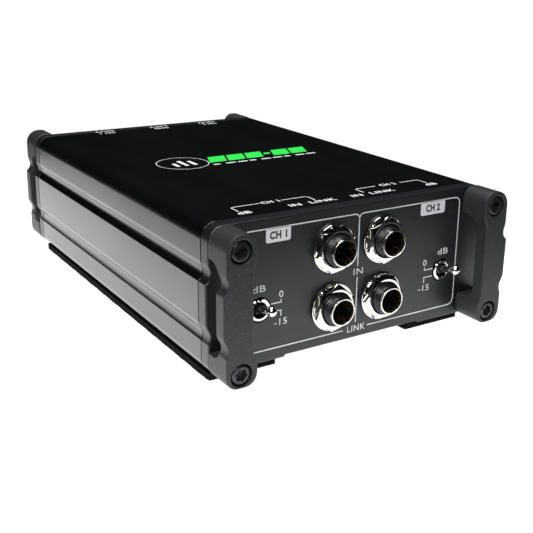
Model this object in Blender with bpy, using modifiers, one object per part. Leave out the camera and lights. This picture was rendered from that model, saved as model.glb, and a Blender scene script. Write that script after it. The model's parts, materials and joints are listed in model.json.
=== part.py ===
"""Stereo passive direct injection box, with its jacks, switches, connectors and circuit inside.

Metres, +Z up. The front panel faces -Y, the left channel is at -X, and the origin is the middle
of the rectangle that the box stands on. Every sub-part is an object of its own.
"""

import math

import bmesh
import bpy
from mathutils import Matrix, Vector

MM = 0.001
GAP = 0.3 * MM  # clearance between pieces that touch

# Overall size.
WIDTH = 100 * MM
DEPTH = 162.6 * MM
HEIGHT = 44.4 * MM

# Case profile, looking along the box.
PAD_THICKNESS = 2.0 * MM
CASE_BOTTOM = PAD_THICKNESS + GAP
RECESS_DEPTH = 0.6 * MM  # the middle of the underside is raised by this
RECESS_HALF_WIDTH = 24.4 * MM
TOP_RADIUS = 4.5 * MM
BOTTOM_RADIUS = 3.5 * MM
BAND_TOP_X = WIDTH / 2 - 0.9 * MM  # the upper flat band of each side
BAND_MIDDLE_X = WIDTH / 2
BAND_LOW_X = WIDTH / 2 - 0.7 * MM
GROOVE_HIGH = {"below": 28.7 * MM, "crease": 31.3 * MM, "above": 34.2 * MM, "x": BAND_MIDDLE_X - 1.5 * MM}
GROOVE_LOW = {"below": 11.3 * MM, "crease": 13.6 * MM, "above": 17.3 * MM, "x": BAND_MIDDLE_X - 1.3 * MM}
WALL = 2.2 * MM
INNER_X = WIDTH / 2 - 3.4 * MM
CORNER_BLOCK = 5.6 * MM  # solid corner that holds a screw port
PORT_RADIUS = 1.6 * MM

# End panels and the corner brackets in front of them.
BRACKET_DEPTH = 10.3 * MM
PANEL_THICKNESS = 4.0 * MM
PANEL_FACE = DEPTH / 2 - BRACKET_DEPTH  # |y| of the outer face of both panels
SCREW_X = 44.8 * MM
SCREW_Z = (5.75 * MM, 39.85 * MM)
SCREW_HOLE = 1.7 * MM
BAR_INNER_X = 41.5 * MM  # inner edge of the upright bar
LOBE_INNER_X = 40.2 * MM  # inner edge of the bracket round each screw
BAR_BACK = 6.2 * MM  # distance of the bar's back from the panel
SLOT_Z = (9.6 * MM, 36.3 * MM)
SLOT_RADIUS = 3.0 * MM
HEAD_RADIUS = 2.9 * MM
HEAD_HEIGHT = 2.0 * MM
HEAD_SINK = 0.4 * MM  # the head's top lies this far below the bracket's face
SHANK_RADIUS = 1.3 * MM
SCREW_LENGTH = 27 * MM

# Front panel: four jacks and two pad switches.
JACK_PITCH = 17.78 * MM
JACK_MIDDLE_Z = 23.57 * MM
THREAD_RADIUS = 4.7 * MM
BARREL_FRONT = 5.0 * MM  # the barrel stands this far out of the panel
SLEEVE_RADIUS = 4.1 * MM
SLEEVE_TUBE_RADIUS = 3.7 * MM
PLUG_RADIUS = 3.25 * MM
JACK_BODY = 15.4 * MM
JACK_BODY_DEPTH = 22 * MM
NUT_ACROSS_FLATS = 12.7 * MM
NUT_FLANGE_RADIUS = 7.3 * MM
SWITCH_X = 33.3 * MM
SWITCH_Z = 18.5 * MM
BUSHING_RADIUS = 3.3 * MM
BUSHING_BORE = 2.3 * MM
BUSHING_PROUD = 0.4 * MM
PIVOT_DEPTH = 1.5 * MM  # the lever's pivot lies this far behind the panel's face
LEVER_TIP = 7.9 * MM  # from the pivot to the centre of the ball tip
LEVER_TILT = math.radians(12.5)

# Rear panel: two three-pin outputs and the ground lift switch.
OUTPUT_X = 22.5 * MM
OUTPUT_Z = (CASE_BOTTOM + HEIGHT) / 2
OUTPUT_RADIUS = 10.6 * MM
OUTPUT_CAVITY = 8.1 * MM
OUTPUT_DEPTH = 22 * MM
FLANGE_SIZE = (26 * MM, 31 * MM, 2.6 * MM)
FLANGE_SCREW = (9.6 * MM, 12.3 * MM)
PIN_CIRCLE = 3.95 * MM
PIN_RADIUS = 1.2 * MM
PIN_TAIL_RADIUS = 0.55 * MM

# Boards and transformers.
BOARD = 1.6 * MM
BOARD_HALF_WIDTH = INNER_X - 0.4 * MM
BOARD_FRONT = -50 * MM
BOARD_REAR = 36 * MM
TONGUE_HALF_WIDTH = 20 * MM
REAR_BOARD_Y = 44.0 * MM
TRANSFORMER = (26 * MM, 32 * MM, 15.0 * MM)

# Anti-slip strips under the case.
PAD_X = ((-48.4 * MM, -26.6 * MM), (21.2 * MM, 43.0 * MM))
PAD_Y = (-PANEL_FACE + 1.8 * MM, 66.0 * MM)

SIDES = {"left": -1, "right": 1}
ENDS = {"front": -1, "rear": 1}


# ---------------------------------------------------------------- scene and materials

def clear_scene():
    for obj in list(bpy.data.objects):
        bpy.data.objects.remove(obj, do_unlink=True)


def new_collection(name):
    collection = bpy.data.collections.new(name)
    bpy.context.scene.collection.children.link(collection)
    return collection


def make_material(name, color, roughness, metallic):
    material = bpy.data.materials.new(name)
    material.use_nodes = True
    shader = material.node_tree.nodes["Principled BSDF"]
    shader.inputs["Base Color"].default_value = (*color, 1.0)
    shader.inputs["Roughness"].default_value = roughness
    shader.inputs["Metallic"].default_value = metallic
    return material


clear_scene()
PARTS = new_collection("direct_injection_box")
CUTTERS = new_collection("cutters")

BLACK_ANODISED = make_material("black_anodised_aluminium", (0.012, 0.013, 0.014), 0.38, 0.6)
PANEL_PAINT = make_material("dark_grey_brushed_panel", (0.045, 0.048, 0.052), 0.42, 0.4)
BRACKET_PAINT = make_material("textured_black_casting", (0.035, 0.037, 0.04), 0.6, 0.2)
CHROME = make_material("chrome_plate", (0.75, 0.74, 0.72), 0.12, 1.0)
BLACK_OXIDE = make_material("black_oxide_steel", (0.05, 0.05, 0.052), 0.4, 0.8)
BLACK_NYLON = make_material("black_nylon", (0.02, 0.02, 0.021), 0.5, 0.0)
RUBBER = make_material("black_rubber", (0.015, 0.015, 0.016), 0.85, 0.0)
SPRING_BRASS = make_material("spring_brass", (0.62, 0.45, 0.2), 0.3, 1.0)
SILVER_PLATE = make_material("silver_plate", (0.8, 0.78, 0.72), 0.2, 1.0)
BOARD_GREEN = make_material("green_circuit_board", (0.01, 0.09, 0.035), 0.4, 0.0)
SWITCH_RED = make_material("red_switch_resin", (0.25, 0.02, 0.015), 0.45, 0.0)
SHIELD_CAN = make_material("grey_shield_can", (0.45, 0.46, 0.47), 0.35, 1.0)
RIBBON_GREY = make_material("grey_ribbon", (0.3, 0.31, 0.33), 0.6, 0.0)


# ---------------------------------------------------------------- outlines

def arc(centre, radius, start, end, steps):
    """Points on a circle from one angle to another, in degrees, both ends included."""
    angles = [math.radians(start + (end - start) * i / steps) for i in range(steps + 1)]
    return [(centre[0] + radius * math.cos(a), centre[1] + radius * math.sin(a)) for a in angles]


def circle(centre, radius, steps=24):
    return arc(centre, radius, 0, 360, steps)[:-1]


def rectangle(low, high):
    return [low, (high[0], low[1]), high, (low[0], high[1])]


def groove(levels, x_below, x_above):
    """One groove of the side, upwards: a hollow ledge in to the crease, then a slow bow out."""
    ledge_run = x_below - levels["x"]
    ledge_rise = levels["crease"] - levels["below"]
    ledge_radius = (ledge_run ** 2 + ledge_rise ** 2) / (2 * ledge_run)
    ledge_angle = math.degrees(math.asin(ledge_rise / ledge_radius))
    ledge_centre = (levels["x"] + ledge_radius, levels["crease"])
    bow_run = x_above - levels["x"]
    bow_rise = levels["above"] - levels["crease"]
    bow_radius = (bow_run ** 2 + bow_rise ** 2) / (2 * bow_run)
    bow_angle = math.degrees(math.asin(bow_rise / bow_radius))
    bow_centre = (x_above - bow_radius, levels["above"])
    ledge = arc(ledge_centre, ledge_radius, 180 + ledge_angle, 180, 4)
    bow = arc(bow_centre, bow_radius, -bow_angle, 0, 4)
    return ledge + bow[1:]


def side_profile():
    """The right side of the case, from the bottom corner up to the top corner."""
    bottom_centre = (BAND_LOW_X - BOTTOM_RADIUS, CASE_BOTTOM + BOTTOM_RADIUS)
    top_centre = (BAND_TOP_X - TOP_RADIUS, HEIGHT - TOP_RADIUS)
    points = arc(bottom_centre, BOTTOM_RADIUS, -90, 0, 4)
    points += groove(GROOVE_LOW, BAND_LOW_X, BAND_MIDDLE_X)
    points += groove(GROOVE_HIGH, BAND_MIDDLE_X, BAND_TOP_X)
    return points + arc(top_centre, TOP_RADIUS, 0, 90, 5)


def mirrored(half):
    """A closed outline from its right half, which runs from bottom to top."""
    return half + [(-x, z) for x, z in reversed(half)]


def case_outline():
    recess = [
        (RECESS_HALF_WIDTH, CASE_BOTTOM + RECESS_DEPTH),
        (RECESS_HALF_WIDTH + RECESS_DEPTH, CASE_BOTTOM),
    ]
    return mirrored(recess + side_profile())


def cavity_outline():
    """The inside of the case: corner blocks for the screws and a pair of ribs that hold the board."""
    rib_in = INNER_X - 2.0 * MM
    slot = BOARD / 2 + GAP
    rib = 1.2 * MM
    block = INNER_X - CORNER_BLOCK
    bottom = CASE_BOTTOM + RECESS_DEPTH + 1.7 * MM
    top = HEIGHT - WALL
    middle = JACK_MIDDLE_Z
    half = [
        (block, bottom),
        (block, bottom + CORNER_BLOCK - 0.7 * MM),
        (INNER_X, bottom + CORNER_BLOCK - 0.7 * MM),
        (INNER_X, middle - slot - rib),
        (rib_in, middle - slot - rib),
        (rib_in, middle - slot),
        (INNER_X, middle - slot),
        (INNER_X, middle + slot),
        (rib_in, middle + slot),
        (rib_in, middle + slot + rib),
        (INNER_X, middle + slot + rib),
        (INNER_X, top - CORNER_BLOCK),
        (block, top - CORNER_BLOCK),
        (block, top),
    ]
    return mirrored(half)


def screw_centres():
    return [(side * SCREW_X, z) for side in SIDES.values() for z in SCREW_Z]


# ---------------------------------------------------------------- solids

def add_object(name, mesh, material, location=(0, 0, 0), collection=None):
    obj = bpy.data.objects.new(name, mesh)
    obj.location = location
    (collection or PARTS).objects.link(obj)
    if material and not mesh.materials:
        mesh.materials.append(material)
    return obj


def smooth(obj, angle=35):
    obj.data.shade_smooth()
    obj.data.set_sharp_from_angle(angle=math.radians(angle))


def baked_mesh(obj):
    """The evaluated mesh of a temporary object, with loose caps welded; the object is removed."""
    bpy.context.view_layer.update()
    graph = bpy.context.evaluated_depsgraph_get()
    mesh = bpy.data.meshes.new_from_object(obj.evaluated_get(graph))
    mesh.transform(obj.matrix_world)
    edit = bmesh.new()
    edit.from_mesh(mesh)
    bmesh.ops.remove_doubles(edit, verts=edit.verts, dist=1e-6)
    bmesh.ops.recalc_face_normals(edit, faces=edit.faces)
    edit.to_mesh(mesh)
    edit.free()
    bpy.data.objects.remove(obj, do_unlink=True)
    return mesh


def flat_mesh(loops, thickness, turn, centre):
    """Outlines filled flat and thickened: the first is the edge and the others are holes in it."""
    curve = bpy.data.curves.new("outline", "CURVE")
    curve.dimensions = "2D"
    curve.fill_mode = "BOTH"
    curve.extrude = thickness / 2
    for loop in loops:
        spline = curve.splines.new("POLY")
        spline.points.add(len(loop) - 1)
        for point, (u, v) in zip(spline.points, loop):
            point.co = (u, v, 0, 1)
        spline.use_cyclic_u = True
    obj = bpy.data.objects.new("outline", curve)
    obj.matrix_world = Matrix.Translation(centre) @ turn
    CUTTERS.objects.link(obj)
    return baked_mesh(obj)


# Drawing planes: outline (u, v) becomes (x, z) or (y, z).
ACROSS = Matrix.Rotation(math.radians(90), 4, "X")
ALONG = Matrix(((0, 0, 1, 0), (1, 0, 0, 0), (0, 1, 0, 0), (0, 0, 0, 1)))


def plate_mesh(loops, y_low, y_high):
    """A flat piece that stands across the box between two values of y."""
    return flat_mesh(loops, y_high - y_low, ACROSS, (0, (y_low + y_high) / 2, 0))


def strip_mesh(loop, x_low, x_high):
    """A piece of one (y, z) section from one value of x to another."""
    return flat_mesh([loop], x_high - x_low, ALONG, ((x_low + x_high) / 2, 0, 0))


def block_mesh(low, high):
    edit = bmesh.new()
    bmesh.ops.create_cube(edit, size=1)
    size = Vector(high) - Vector(low)
    bmesh.ops.scale(edit, vec=size, verts=edit.verts)
    bmesh.ops.translate(edit, vec=(Vector(low) + Vector(high)) / 2, verts=edit.verts)
    mesh = bpy.data.meshes.new("block")
    edit.to_mesh(mesh)
    edit.free()
    return mesh


def turned_mesh(profile, steps=24, end=-1):
    """A turned solid on the y axis. The profile holds (radius, height) points, outer side first,
    from the outer end inwards; height is measured out of the panel of the given end."""
    mesh = bpy.data.meshes.new("profile")
    points = [(radius, 0, height) for radius, height in profile]
    closed = min(radius for radius, _ in profile) > 0
    edges = [(i, i + 1) for i in range(len(points) - 1)]
    if closed:
        edges.append((len(points) - 1, 0))
    mesh.from_pydata(points, edges, [])
    obj = bpy.data.objects.new("profile", mesh)
    CUTTERS.objects.link(obj)
    screw = obj.modifiers.new("turn", "SCREW")
    screw.axis = "Z"
    screw.steps = steps
    screw.render_steps = steps
    screw.use_merge_vertices = True
    screw.merge_threshold = 1e-6
    obj.matrix_world = Matrix.Rotation(math.radians(-90 * end), 4, "X")
    return baked_mesh(obj)


def add_modifier_object(obj, mesh, operation):
    """Joins or cuts an object with a mesh, which is kept as a hidden helper."""
    helper = add_object(obj.name + ".helper", mesh, None, collection=CUTTERS)
    helper.hide_render = True
    helper.display_type = "WIRE"
    modifier = obj.modifiers.new(operation.lower(), "BOOLEAN")
    modifier.operation = operation
    modifier.solver = "EXACT"
    modifier.object = helper
    return helper


def cut(obj, mesh):
    return add_modifier_object(obj, mesh, "DIFFERENCE")


def join(obj, mesh):
    return add_modifier_object(obj, mesh, "UNION")


def moved(mesh, offset):
    copy = mesh.copy()
    copy.transform(Matrix.Translation(offset))
    return copy


def place_copies(mesh, material, places):
    """One object for each name, all of the same mesh."""
    for name, location in places.items():
        smooth(add_object(name, mesh, material, location))


# ---------------------------------------------------------------- case and panels

def make_case():
    ports = [circle(centre, PORT_RADIUS, 10) for centre in screw_centres()]
    half_length = PANEL_FACE - PANEL_THICKNESS - GAP
    mesh = plate_mesh([case_outline(), cavity_outline(), *ports], -half_length, half_length)
    smooth(add_object("case_extrusion", mesh, BLACK_ANODISED))


def make_panel(name, end, holes):
    screws = [circle(centre, SCREW_HOLE, 10) for centre in screw_centres()]
    faces = sorted((end * PANEL_FACE, end * (PANEL_FACE - PANEL_THICKNESS)))
    mesh = plate_mesh([case_outline(), *screws, *holes], *faces)
    smooth(add_object(name, mesh, PANEL_PAINT))


def jack_centres():
    half = JACK_PITCH / 2
    return {
        "input_left": (-half, JACK_MIDDLE_Z + half),
        "input_right": (half, JACK_MIDDLE_Z + half),
        "thru_left": (-half, JACK_MIDDLE_Z - half),
        "thru_right": (half, JACK_MIDDLE_Z - half),
    }


def make_panels():
    jack_holes = [circle(centre, THREAD_RADIUS + GAP, 20) for centre in jack_centres().values()]
    switch_holes = [
        circle((side * SWITCH_X, SWITCH_Z), BUSHING_RADIUS + GAP, 16) for side in SIDES.values()
    ]
    make_panel("front_panel", -1, jack_holes + switch_holes)
    output_holes = []
    for side in SIDES.values():
        centre = (side * OUTPUT_X, OUTPUT_Z)
        output_holes.append(circle(centre, OUTPUT_RADIUS + GAP, 24))
        output_holes += [circle(place, SCREW_HOLE, 10) for place in flange_screws(centre)]
    output_holes.append(circle((0, OUTPUT_Z), BUSHING_RADIUS + GAP, 16))
    make_panel("rear_panel", 1, output_holes)


# ---------------------------------------------------------------- brackets

def blend(start, end, steps=4):
    """A soft step in x between two (x, z) points."""
    points = []
    for i in range(steps + 1):
        t = i / steps
        ease = t * t * (3 - 2 * t)
        points.append((start[0] + (end[0] - start[0]) * ease, start[1] + (end[1] - start[1]) * t))
    return points


def bracket_outline():
    """Front view of a right-hand bracket: the case's side outside, a bar between two lobes inside."""
    lobe = 3.5 * MM
    inner_top = arc((LOBE_INNER_X + lobe, HEIGHT - lobe), lobe, 90, 180, 4)
    upper = blend((LOBE_INNER_X, SCREW_Z[1] - 1.8 * MM), (BAR_INNER_X, SCREW_Z[1] - 6.6 * MM))
    lower = blend((BAR_INNER_X, SCREW_Z[0] + 6.6 * MM), (LOBE_INNER_X, SCREW_Z[0] + 1.8 * MM))
    inner_bottom = arc((LOBE_INNER_X + lobe, CASE_BOTTOM + lobe), lobe, 180, 270, 4)
    return side_profile() + inner_top + upper + lower + inner_bottom[:-1]


def slot_section(end):
    """The finger slot behind the bar, in (y, z), open towards the panel."""
    bar = PANEL_FACE + BAR_BACK
    corner = bar - SLOT_RADIUS
    low, high = SLOT_Z
    points = [(PANEL_FACE - 1 * MM, low)]
    points += arc((corner, low + SLOT_RADIUS), SLOT_RADIUS, -90, 0, 4)
    points += arc((corner, high - SLOT_RADIUS), SLOT_RADIUS, 0, 90, 4)
    points.append((PANEL_FACE - 1 * MM, high))
    return [(end * y, z) for y, z in points]


def screw_well():
    """Cutter for a counterbore and its clearance hole, out of the bracket's face."""
    face = BRACKET_DEPTH
    floor = face - HEAD_SINK - HEAD_HEIGHT - GAP
    return [
        (0, face + 1 * MM),
        (HEAD_RADIUS + 0.4 * MM, face + 1 * MM),
        (HEAD_RADIUS + 0.4 * MM, floor),
        (SCREW_HOLE, floor),
        (SCREW_HOLE, -1 * MM),
        (0, -1 * MM),
    ]


def screw_profile():
    face = BRACKET_DEPTH - HEAD_SINK
    under_head = face - HEAD_HEIGHT
    socket = 1.3 * MM
    return [
        (0, face - socket),
        (1.4 * MM, face - socket),
        (1.4 * MM, face),
        (2.1 * MM, face),
        (HEAD_RADIUS, face - 0.8 * MM),
        (HEAD_RADIUS, under_head),
        (SHANK_RADIUS, under_head),
        (SHANK_RADIUS, under_head - SCREW_LENGTH),
        (0, under_head - SCREW_LENGTH),
    ]


def make_brackets():
    outline = bracket_outline()
    for end_name, end in ENDS.items():
        well = turned_mesh(screw_well(), 16, end)
        screw = turned_mesh(screw_profile(), 12, end)
        faces = sorted((end * (PANEL_FACE + GAP), end * DEPTH / 2))
        for side_name, side in SIDES.items():
            shape = [(side * x, z) for x, z in outline]
            mesh = plate_mesh([shape], *faces)
            bracket = add_object(f"corner_bracket_{end_name}_{side_name}", mesh, BRACKET_PAINT)
            reach = sorted((side * (LOBE_INNER_X - 2 * MM), side * (WIDTH / 2 + 2 * MM)))
            cut(bracket, strip_mesh(slot_section(end), *reach))
            screws = {}
            for level, z in zip(("lower", "upper"), SCREW_Z):
                place = (side * SCREW_X, end * PANEL_FACE, z)
                cut(bracket, moved(well, place))
                screws[f"bracket_screw_{end_name}_{side_name}_{level}"] = place
            smooth(bracket)
            place_copies(screw, BLACK_OXIDE, screws)


# ---------------------------------------------------------------- jacks

def on_front(centre):
    return (centre[0], -PANEL_FACE, centre[1])


def jack_housing_mesh():
    """Square body behind the panel with the threaded barrel in front, bored for the plug."""
    half = JACK_BODY / 2
    body_front = PANEL_THICKNESS + GAP
    body = add_object(
        "jack_body",
        block_mesh((-half, body_front, -half), (half, body_front + JACK_BODY_DEPTH, half)),
        BLACK_NYLON,
        collection=CUTTERS,
    )
    barrel_end = -body_front - 1 * MM
    join(body, turned_mesh([
        (0, BARREL_FRONT),
        (THREAD_RADIUS - 0.4 * MM, BARREL_FRONT),
        (THREAD_RADIUS, BARREL_FRONT - 0.4 * MM),
        (THREAD_RADIUS, barrel_end),
        (0, barrel_end),
    ], 20))
    cut(body, turned_mesh([
        (0, BARREL_FRONT + 1 * MM),
        (SLEEVE_TUBE_RADIUS + GAP, BARREL_FRONT + 1 * MM),
        (SLEEVE_TUBE_RADIUS + GAP, -4 * MM),
        (PLUG_RADIUS, -4 * MM),
        (PLUG_RADIUS, -16 * MM),
        (0, -16 * MM),
    ], 20))
    chamber = 4.5 * MM
    cut(body, block_mesh((-chamber, 15 * MM, -chamber), (chamber, 24 * MM, chamber)))
    return baked_mesh(body)


def sleeve_ring_mesh():
    """Plated sleeve contact: a rim in front of the barrel and a tube inside it."""
    front = BARREL_FRONT + 0.9 * MM
    back = BARREL_FRONT + GAP
    return turned_mesh([
        (SLEEVE_RADIUS - 0.3 * MM, front),
        (SLEEVE_RADIUS, front - 0.3 * MM),
        (SLEEVE_RADIUS, back),
        (SLEEVE_TUBE_RADIUS, back),
        (SLEEVE_TUBE_RADIUS, -3.5 * MM),
        (PLUG_RADIUS, -3.5 * MM),
        (PLUG_RADIUS, front - 0.6 * MM),
        (PLUG_RADIUS + 0.3 * MM, front),
    ], 20)


def jack_nut_mesh():
    """Hexagon nut with a round flange, bored to clear the thread."""
    flange = (GAP, 1.1 * MM)
    height = 2.9 * MM
    across_corners = NUT_ACROSS_FLATS / math.sqrt(3)
    hexagon = arc((0, 0), across_corners, 30, 390, 6)[:-1]
    nut = add_object(
        "nut_body", plate_mesh([hexagon], -height, -flange[0] - 0.2 * MM), CHROME, collection=CUTTERS
    )
    join(nut, turned_mesh([
        (0, flange[1]),
        (NUT_FLANGE_RADIUS - 0.3 * MM, flange[1]),
        (NUT_FLANGE_RADIUS, flange[1] - 0.3 * MM),
        (NUT_FLANGE_RADIUS, flange[0]),
        (0, flange[0]),
    ], 24))
    bore = THREAD_RADIUS + GAP
    cut(nut, turned_mesh([(0, 5 * MM), (bore, 5 * MM), (bore, -1 * MM), (0, -1 * MM)], 20))
    return baked_mesh(nut)


def tip_contact_mesh():
    """Bent leaf spring at the back of the bore, which presses on the plug's tip."""
    leaf = 0.35 * MM
    top = [(23.6, 4.0), (18.6, 3.9), (17.0, 2.7), (15.8, 3.2)]
    outline = [(y * MM, z * MM) for y, z in top]
    outline += [(y * MM, z * MM - leaf) for y, z in reversed(top)]
    return strip_mesh(outline, -1.2 * MM, 1.2 * MM)


def make_jacks():
    meshes = {
        "jack_housing": (jack_housing_mesh(), BLACK_NYLON),
        "jack_sleeve_ring": (sleeve_ring_mesh(), CHROME),
        "jack_nut": (jack_nut_mesh(), CHROME),
        "jack_tip_contact": (tip_contact_mesh(), SPRING_BRASS),
    }
    for kind, (mesh, material) in meshes.items():
        places = {f"{kind}_{name}": on_front(centre) for name, centre in jack_centres().items()}
        place_copies(mesh, material, places)


# ---------------------------------------------------------------- toggle switches

def toggle_bushing_mesh(end):
    """Plated bushing with the frame plate behind the panel, bored for the lever."""
    plate = -PANEL_THICKNESS - GAP
    faces = sorted((end * plate, end * (plate - 0.7 * MM)))
    outline = rectangle((-3.4 * MM, -6.2 * MM), (3.4 * MM, 6.2 * MM))
    bushing = add_object("bushing_plate", plate_mesh([outline], *faces), CHROME, collection=CUTTERS)
    join(bushing, turned_mesh([
        (0, BUSHING_PROUD),
        (BUSHING_RADIUS - 0.3 * MM, BUSHING_PROUD),
        (BUSHING_RADIUS, BUSHING_PROUD - 0.3 * MM),
        (BUSHING_RADIUS, plate - 0.3 * MM),
        (0, plate - 0.3 * MM),
    ], 20, end))
    cut(bushing, turned_mesh([
        (0, BUSHING_PROUD + 1 * MM),
        (BUSHING_BORE + 1.3 * MM, BUSHING_PROUD + 1 * MM),
        (BUSHING_BORE, BUSHING_PROUD - 0.4 * MM),
        (BUSHING_BORE, plate - 2 * MM),
        (0, plate - 2 * MM),
    ], 20, end))
    return baked_mesh(bushing)


def toggle_body_mesh(end):
    """Moulded switch body with a pocket for the lever's tail and three terminals."""
    front = PANEL_THICKNESS + GAP + 0.7 * MM + GAP
    back = front + 9 * MM

    def block(low, high):
        y_low, y_high = sorted((-end * low[1], -end * high[1]))
        return block_mesh((low[0], y_low, low[2]), (high[0], y_high, high[2]))

    body = add_object(
        "switch_body", block((-3.5 * MM, front, -6.5 * MM), (3.5 * MM, back, 6.5 * MM)),
        SWITCH_RED, collection=CUTTERS,
    )
    cut(body, block((-2.0 * MM, front - 1 * MM, -3.6 * MM), (2.0 * MM, front + 6 * MM, 3.6 * MM)))
    for z in (-4.7 * MM, 0, 4.7 * MM):
        low = (-0.6 * MM, back - 1 * MM, z - 0.4 * MM)
        high = (0.6 * MM, back + 4 * MM, z + 0.4 * MM)
        join(body, block(low, high))
    return baked_mesh(body)


def toggle_lever_mesh(end):
    """Lever about its pivot: ball tip, tapered shank, pivot ball and tail."""
    ball = 1.5 * MM
    neck = math.radians(42)
    tip = [
        (ball * math.sin(a), LEVER_TIP + ball * math.cos(a))
        for a in [math.radians(30 * i) for i in range(5)] if a < math.pi - neck
    ]
    pivot = 1.9 * MM
    swell = [
        (pivot * math.sin(a), pivot * math.cos(a))
        for a in [math.radians(40 + 20 * i) for i in range(6)]
    ]
    tail = [(0.8 * MM, -6.4 * MM), (0, -6.4 * MM)]
    return turned_mesh([*tip, (1.05 * MM, LEVER_TIP - 1.7 * MM), *swell, *tail], 12, end)


def make_switch(name, x, z, end):
    place = (x, end * PANEL_FACE, z)
    place_copies(toggle_bushing_mesh(end), CHROME, {f"{name}_bushing": place})
    place_copies(toggle_body_mesh(end), SWITCH_RED, {f"{name}_body": place})
    pivot = (x, end * (PANEL_FACE - PIVOT_DEPTH), z)
    lever = add_object(f"{name}_lever", toggle_lever_mesh(end), CHROME, pivot)
    lever.rotation_euler = (end * LEVER_TILT, 0, 0)
    smooth(lever)


def make_switches():
    for side_name, side in SIDES.items():
        make_switch(f"pad_switch_{side_name}", side * SWITCH_X, SWITCH_Z, -1)
    make_switch("ground_lift_switch", 0, OUTPUT_Z, 1)


# ---------------------------------------------------------------- balanced outputs

def flange_screws(centre):
    dx, dz = FLANGE_SCREW
    return [(centre[0] + dx, centre[1] + dz), (centre[0] - dx, centre[1] - dz)]


def pin_places():
    return [
        (PIN_CIRCLE * math.cos(math.radians(a)), PIN_CIRCLE * math.sin(math.radians(a)))
        for a in (150, 30, 270)
    ]


def output_housing_mesh():
    """Round shell with a flange behind the panel and a floor that carries the pins."""
    width, height, thickness = FLANGE_SIZE
    front = -PANEL_THICKNESS - GAP
    flange = add_object(
        "output_flange",
        plate_mesh(
            [rectangle((-width / 2, -height / 2), (width / 2, height / 2))], front - thickness, front
        ),
        BLACK_NYLON,
        collection=CUTTERS,
    )
    proud = 0.5 * MM
    join(flange, turned_mesh([
        (0, proud),
        (OUTPUT_RADIUS - 0.5 * MM, proud),
        (OUTPUT_RADIUS, proud - 0.5 * MM),
        (OUTPUT_RADIUS, -OUTPUT_DEPTH),
        (0, -OUTPUT_DEPTH),
    ], 24, 1))
    floor = 3 * MM - OUTPUT_DEPTH
    cut(flange, turned_mesh([
        (0, proud + 1 * MM), (OUTPUT_CAVITY, proud + 1 * MM), (OUTPUT_CAVITY, floor), (0, floor)
    ], 24, 1))
    hole = [(0, floor + 2 * MM), (1, floor + 2 * MM), (1, floor - 5 * MM), (0, floor - 5 * MM)]
    pin_hole = turned_mesh([(r * (PIN_RADIUS + GAP), h) for r, h in hole], 12, 1)
    for x, z in pin_places():
        cut(flange, moved(pin_hole, (x, 0, z)))
    reach = [(0, front + 2 * MM), (1, front + 2 * MM), (1, front - 5 * MM), (0, front - 5 * MM)]
    screw_hole = turned_mesh([(r * (SHANK_RADIUS + GAP), h) for r, h in reach], 12, 1)
    for x, z in flange_screws((0, 0)):
        cut(flange, moved(screw_hole, (x, 0, z)))
    return baked_mesh(flange)


def output_pin_mesh():
    """Contact pin with a rounded end, and a thin tail that reaches the rear board."""
    tip = -4.5 * MM
    shoulder = -OUTPUT_DEPTH + 0.2 * MM
    tail = -(PANEL_FACE - REAR_BOARD_Y) + 0.5 * MM
    return turned_mesh([
        (0, tip),
        (PIN_RADIUS * 0.6, tip - 0.3 * MM),
        (PIN_RADIUS, tip - 1.0 * MM),
        (PIN_RADIUS, shoulder),
        (PIN_TAIL_RADIUS, shoulder),
        (PIN_TAIL_RADIUS, tail),
        (0, tail),
    ], 12, 1)


def output_screw_mesh():
    head = GAP + 1.8 * MM
    return turned_mesh([
        (0, head - 1.0 * MM),
        (1.2 * MM, head - 1.0 * MM),
        (1.2 * MM, head),
        (1.9 * MM, head),
        (2.7 * MM, head - 0.8 * MM),
        (2.7 * MM, GAP),
        (SHANK_RADIUS, GAP),
        (SHANK_RADIUS, -8 * MM),
        (0, -8 * MM),
    ], 12, 1)


def make_outputs():
    housing = output_housing_mesh()
    pin = output_pin_mesh()
    screw = output_screw_mesh()
    for side_name, side in SIDES.items():
        x = side * OUTPUT_X
        place_copies(housing, BLACK_NYLON, {f"output_housing_{side_name}": (x, PANEL_FACE, OUTPUT_Z)})
        pins = {
            f"output_pin_{side_name}_{number}": (x + dx, PANEL_FACE, OUTPUT_Z + dz)
            for number, (dx, dz) in enumerate(pin_places(), start=1)
        }
        place_copies(pin, SILVER_PLATE, pins)
        places = flange_screws((x, OUTPUT_Z))
        screws = {
            f"output_screw_{side_name}_{level}": (sx, PANEL_FACE, sz)
            for level, (sx, sz) in zip(("upper", "lower"), places)
        }
        place_copies(screw, BLACK_OXIDE, screws)


# ---------------------------------------------------------------- inside

def make_boards():
    """The main board slides in the case's ribs, with a tongue between the two rows of jacks."""
    tongue_front = -PANEL_FACE + PANEL_THICKNESS + 1 * MM
    half = [
        (TONGUE_HALF_WIDTH, tongue_front),
        (TONGUE_HALF_WIDTH, BOARD_FRONT),
        (BOARD_HALF_WIDTH, BOARD_FRONT),
        (BOARD_HALF_WIDTH, BOARD_REAR),
    ]
    main = flat_mesh([mirrored(half)], BOARD, Matrix.Identity(4), (0, 0, JACK_MIDDLE_Z))
    add_object("main_board", main, BOARD_GREEN)
    edge = rectangle((-40 * MM, 7 * MM), (40 * MM, 39.5 * MM))
    holes = [
        circle((side * OUTPUT_X + dx, OUTPUT_Z + dz), PIN_TAIL_RADIUS + GAP, 8)
        for side in SIDES.values() for dx, dz in pin_places()
    ]
    rear = plate_mesh([edge, *holes], REAR_BOARD_Y, REAR_BOARD_Y + BOARD)
    add_object("rear_board", rear, BOARD_GREEN)


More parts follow.
